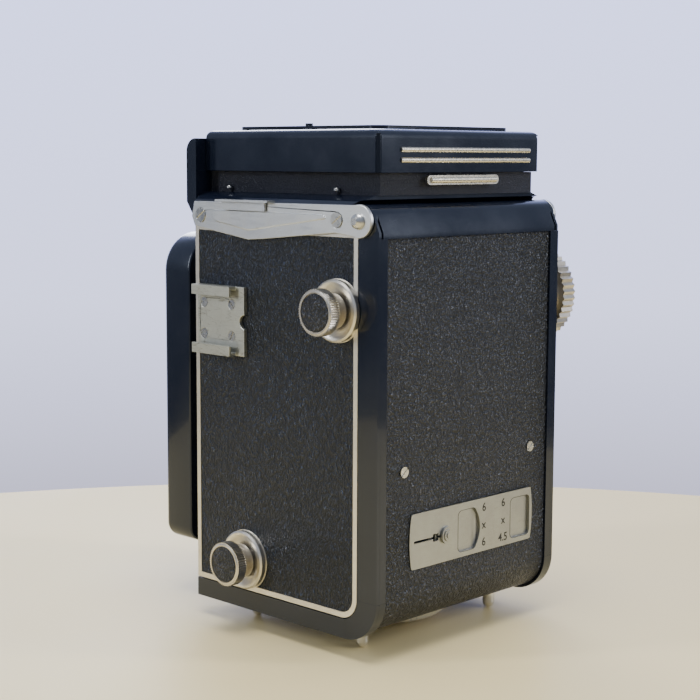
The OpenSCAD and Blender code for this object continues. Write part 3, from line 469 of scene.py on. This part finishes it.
def make_front_leather():
    """Leather on the face of the lens panel, cut out round both lens mounts."""
    low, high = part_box("lens_panel")
    inset, thick, sunk, room = 5.0 * MM, 0.35 * MM, 0.1 * MM, 0.6 * MM
    top_r, low_r = 8 * MM, 3 * MM
    data = bpy.data.curves.new("front_leather", "CURVE")
    data.dimensions = "2D"
    data.fill_mode = "BOTH"
    data.extrude = thick / 2
    data.bevel_depth = 0.1 * MM
    corners = (low.x + inset, low.z + inset), (high.x - inset, high.z - inset)
    loops = [rounded_outline(*corners, (top_r, top_r, low_r, low_r))]
    for mount in ("viewing_barrel", "shutter_case"):
        hole_low, hole_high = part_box(mount)
        middle = (hole_low + hole_high) / 2
        loops.append(circle(middle.x, middle.z, (hole_high.x - hole_low.x) / 2 + room, 72))
    for loop in loops:
        add_loop(data, [(x, z, 0) for x, z in loop])
    holder = bpy.data.objects.new("front_leather_curve", data)
    bpy.context.scene.collection.objects.link(holder)
    bpy.context.view_layer.update()
    mesh = bpy.data.meshes.new_from_object(holder.evaluated_get(bpy.context.evaluated_depsgraph_get()))
    bpy.data.objects.remove(holder)
    upright = Matrix.Rotation(math.pi / 2, 4, "X")
    mesh.transform(Matrix.Translation((0, low.y - thick / 2 + sunk, 0)) @ upright)
    add_object("front_leather", mesh, looks["leather_back"], "front")


# ---------------------------------------------------------------- knobs, screws and format plate


def make_knob_leather(name, knob, body):
    """A crowned leather disc let into the end of a spool knob."""
    low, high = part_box(knob)
    r, edge, crown, skirt = 5.35 * MM, 0.25 * MM, 0.06 * MM, 0.3 * MM
    face = high.x - 0.26 * MM
    profile = [
        (face - skirt, r), (face, r), (face + edge * 0.7, r - edge * 0.3),
        (face + edge, r - edge), (face + (edge + crown), r * 0.5),
    ]
    bm = bmesh.new()
    y, z = (low.y + high.y) / 2, (low.z + high.z) / 2
    loft(bm, [[(x, *place) for place in circle(y, z, ring_r, 96)] for x, ring_r in profile])
    add_object(name, mesh_of(name, bm), looks["leather_back"], body)


def make_hood_screws():
    """Bright cheese heads that hold the hood's base to the top cover."""
    low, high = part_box("hood_base")
    seat, from_front, from_rear = low.z + 1.35 * MM, 9.2 * MM, 15.9 * MM
    profile = [(-0.2, 0.9), (0.35, 0.9), (0.55, 0.72), (0.6, 0.3)]
    for side, x in (("left", high.x), ("right", low.x)):
        for place, y in (("front", low.y + from_front), ("rear", high.y - from_rear)):
            bm = bmesh.new()
            loft(bm, [[(*at, seat + z * MM) for at in circle(x, y, r * MM, 28)] for z, r in profile])
            name = "hood_screw_" + side + "_" + place
            add_object(name, mesh_of(name, bm), looks["screw_steel"], "body")


def make_window_shade_line(name, start, end):
    """A fine dark line of painted shade round a window's edge, whose sides are this far along the format
    plate.
    """
    low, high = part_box("format_plate")
    bottom, top, r = low.z + 1.5 * MM, high.z - 2.2 * MM, 1.6 * MM
    data = bpy.data.curves.new(name, "CURVE")
    data.dimensions = "3D"
    data.bevel_depth = 0.07 * MM
    outline = rounded_outline((low.x + start, bottom), (low.x + end, top), (r, r, r, r))
    add_loop(data, [(x, high.y, z) for x, z in outline])
    add_object(name, data, looks["cast_body"], "door")


def make_numerals(name, rows, start, pitch):
    """A column of small filled-in numerals, this far along the format plate."""
    low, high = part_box("format_plate")
    from_top, lift = 2.9 * MM, 0.01 * MM
    upright = Matrix.Rotation(math.pi, 4, "Z") @ Matrix.Rotation(math.pi / 2, 4, "X")
    for i, (row, text) in enumerate(zip(("first", "by", "second"), rows)):
        data = bpy.data.curves.new(name + "_" + row, "FONT")
        data.body = text
        data.size = 3.5 * MM
        data.align_x = "CENTER"
        data.align_y = "CENTER"
        data.extrude = 0.015 * MM
        data.offset = 0.05 * MM
        place = (low.x + start, high.y + lift, high.z - from_top - pitch * i)
        turn = Matrix.Translation(place) @ upright
        add_object(data.name, data, looks["cast_body"], "door", turn=turn)


make_lens_panel()
make_front_leather()
# Painted shade: a dark line round each window of the format plate.
make_window_shade_line("window_shade_line_square", 26.6 * MM, 34.8 * MM)
make_window_shade_line("window_shade_line_half", 1.4 * MM, 10.6 * MM)
make_hood_screws()
make_knob_leather("upper_knob_leather", "spool_knob_upper", "knob_high")
make_knob_leather("lower_knob_leather", "spool_knob_lower", "knob_low")
make_numerals("square", ("6", "x", "6"), 23.0 * MM, 5.25 * MM)
make_numerals("half", ("6", "x", "4.5"), 14.0 * MM, 5.3 * MM)


# ---------------------------------------------------------------- stage, lights and camera

# The viewpoint was fitted to the corners of the camera body in the photograph.
CAMERA_PLACE = Vector((0.34505, 0.32470, 0.14157))
CAMERA_AZIMUTH = math.radians(134.34)
CAMERA_ELEVATION = math.radians(7.12)
CAMERA_ROLL = math.radians(0.22)
CAMERA_LENS = 80.16
SENSOR_WIDTH = 36
MIDDLE = (0, 0, 0.08)


def make_camera():
    """The photograph's viewpoint."""
    back = Vector((
        math.sin(CAMERA_AZIMUTH) * math.cos(CAMERA_ELEVATION),
        -math.cos(CAMERA_AZIMUTH) * math.cos(CAMERA_ELEVATION),
        math.sin(CAMERA_ELEVATION),
    ))
    data = bpy.data.cameras.new("camera")
    data.lens = CAMERA_LENS
    data.sensor_width = SENSOR_WIDTH
    camera = bpy.data.objects.new("camera", data)
    bpy.context.scene.collection.objects.link(camera)
    turn = (-back).to_track_quat("-Z", "Y").to_matrix().to_4x4()
    camera.matrix_world = Matrix.Translation(CAMERA_PLACE) @ turn @ Matrix.Rotation(CAMERA_ROLL, 4, "Z")
    bpy.context.scene.camera = camera


def make_table():
    """A round tabletop, whose far edge is this far from the viewpoint and shows behind the object."""
    radius, thick, edge, far_edge = 0.45, 0.02, 0.004, 0.672
    forward = Vector((-math.sin(CAMERA_AZIMUTH), math.cos(CAMERA_AZIMUTH), 0))
    centre = Vector((CAMERA_PLACE.x, CAMERA_PLACE.y, 0)) + forward * (far_edge - radius)
    mesh = bpy.data.meshes.new("table")
    bm = bmesh.new()
    bmesh.ops.create_cone(bm, cap_ends=True, segments=256, radius1=radius, radius2=radius, depth=thick)
    bm.to_mesh(mesh)
    bm.free()
    table = bpy.data.objects.new("table", mesh)
    table.location = centre - Vector((0, 0, thick / 2))
    bpy.context.scene.collection.objects.link(table)
    bevel = table.modifiers.new("edge", "BEVEL")
    bevel.width = edge
    bevel.segments = 4
    mesh.materials.append(tabletop("tabletop"))


def make_light(name, place, aim, size, power, tint):
    """A soft rectangular light at a place, aimed at a point."""
    data = bpy.data.lights.new(name, "AREA")
    data.shape = "RECTANGLE"
    data.size, data.size_y = size
    data.energy = power
    data.color = tint
    light = bpy.data.objects.new(name, data)
    light.location = place
    light.rotation_mode = "QUATERNION"
    light.rotation_quaternion = (Vector(aim) - Vector(place)).to_track_quat("-Z", "Y")
    bpy.context.scene.collection.objects.link(light)


def make_world():
    """A pale backdrop behind the object, fading to a dimmer studio on the other sides."""
    world = bpy.data.worlds.new("studio")
    world.use_nodes = True
    sky = NodeTree(world.node_tree)
    place = sky.node("ShaderNodeTexCoord").outputs["Generated"]

    def along(direction):
        inputs = {0: place, 1: direction}
        return sky.node("ShaderNodeVectorMath", inputs, operation="DOT_PRODUCT").outputs["Value"]

    def ramp(value, *stops):
        made = sky.node("ShaderNodeValToRGB", {0: value})
        elements = made.color_ramp.elements
        while len(elements) < len(stops):
            elements.new(0.5)
        for element, (position, color) in zip(elements, stops):
            element.position = position
            element.color = color
        return made.outputs[0]

    toward = (math.sin(CAMERA_AZIMUTH), -math.cos(CAMERA_AZIMUTH), 0)
    height = sky.span(along((0, 0, 1)), -0.26, 0.30)
    backdrop = ramp(
        height,
        (0.0, rgb(0.19, 0.18, 0.21)), (0.30, rgb(0.42, 0.44, 0.62)), (1.0, rgb(0.50, 0.56, 0.98)),
    )
    room = ramp(height, (0.0, rgb(0.035, 0.037, 0.045)), (1.0, rgb(0.11, 0.125, 0.16)))
    shader = sky.tree.nodes["Background"]
    sky.feed(shader.inputs["Color"], sky.blend(sky.span(along(toward), -0.93, -0.55), backdrop, room))
    shader.inputs["Strength"].default_value = 3.2
    bpy.context.scene.world = world


make_camera()
make_table()
make_world()
make_light("left_window", (0.9, -0.5, 0.5), MIDDLE, (0.12, 0.6), 6, (0.96, 0.98, 1.0))
make_light("right_window", (-0.6, 0.9, 0.5), MIDDLE, (0.12, 0.6), 8, (0.98, 0.98, 1.0))
make_light("front_window", (-0.7, -1.0, 0.6), MIDDLE, (0.5, 0.7), 8, (0.98, 0.98, 1.0))
make_light("top", (0.1, 0.1, 1.2), (0, 0, 0), (0.6, 0.6), 14, (1.0, 0.99, 0.97))
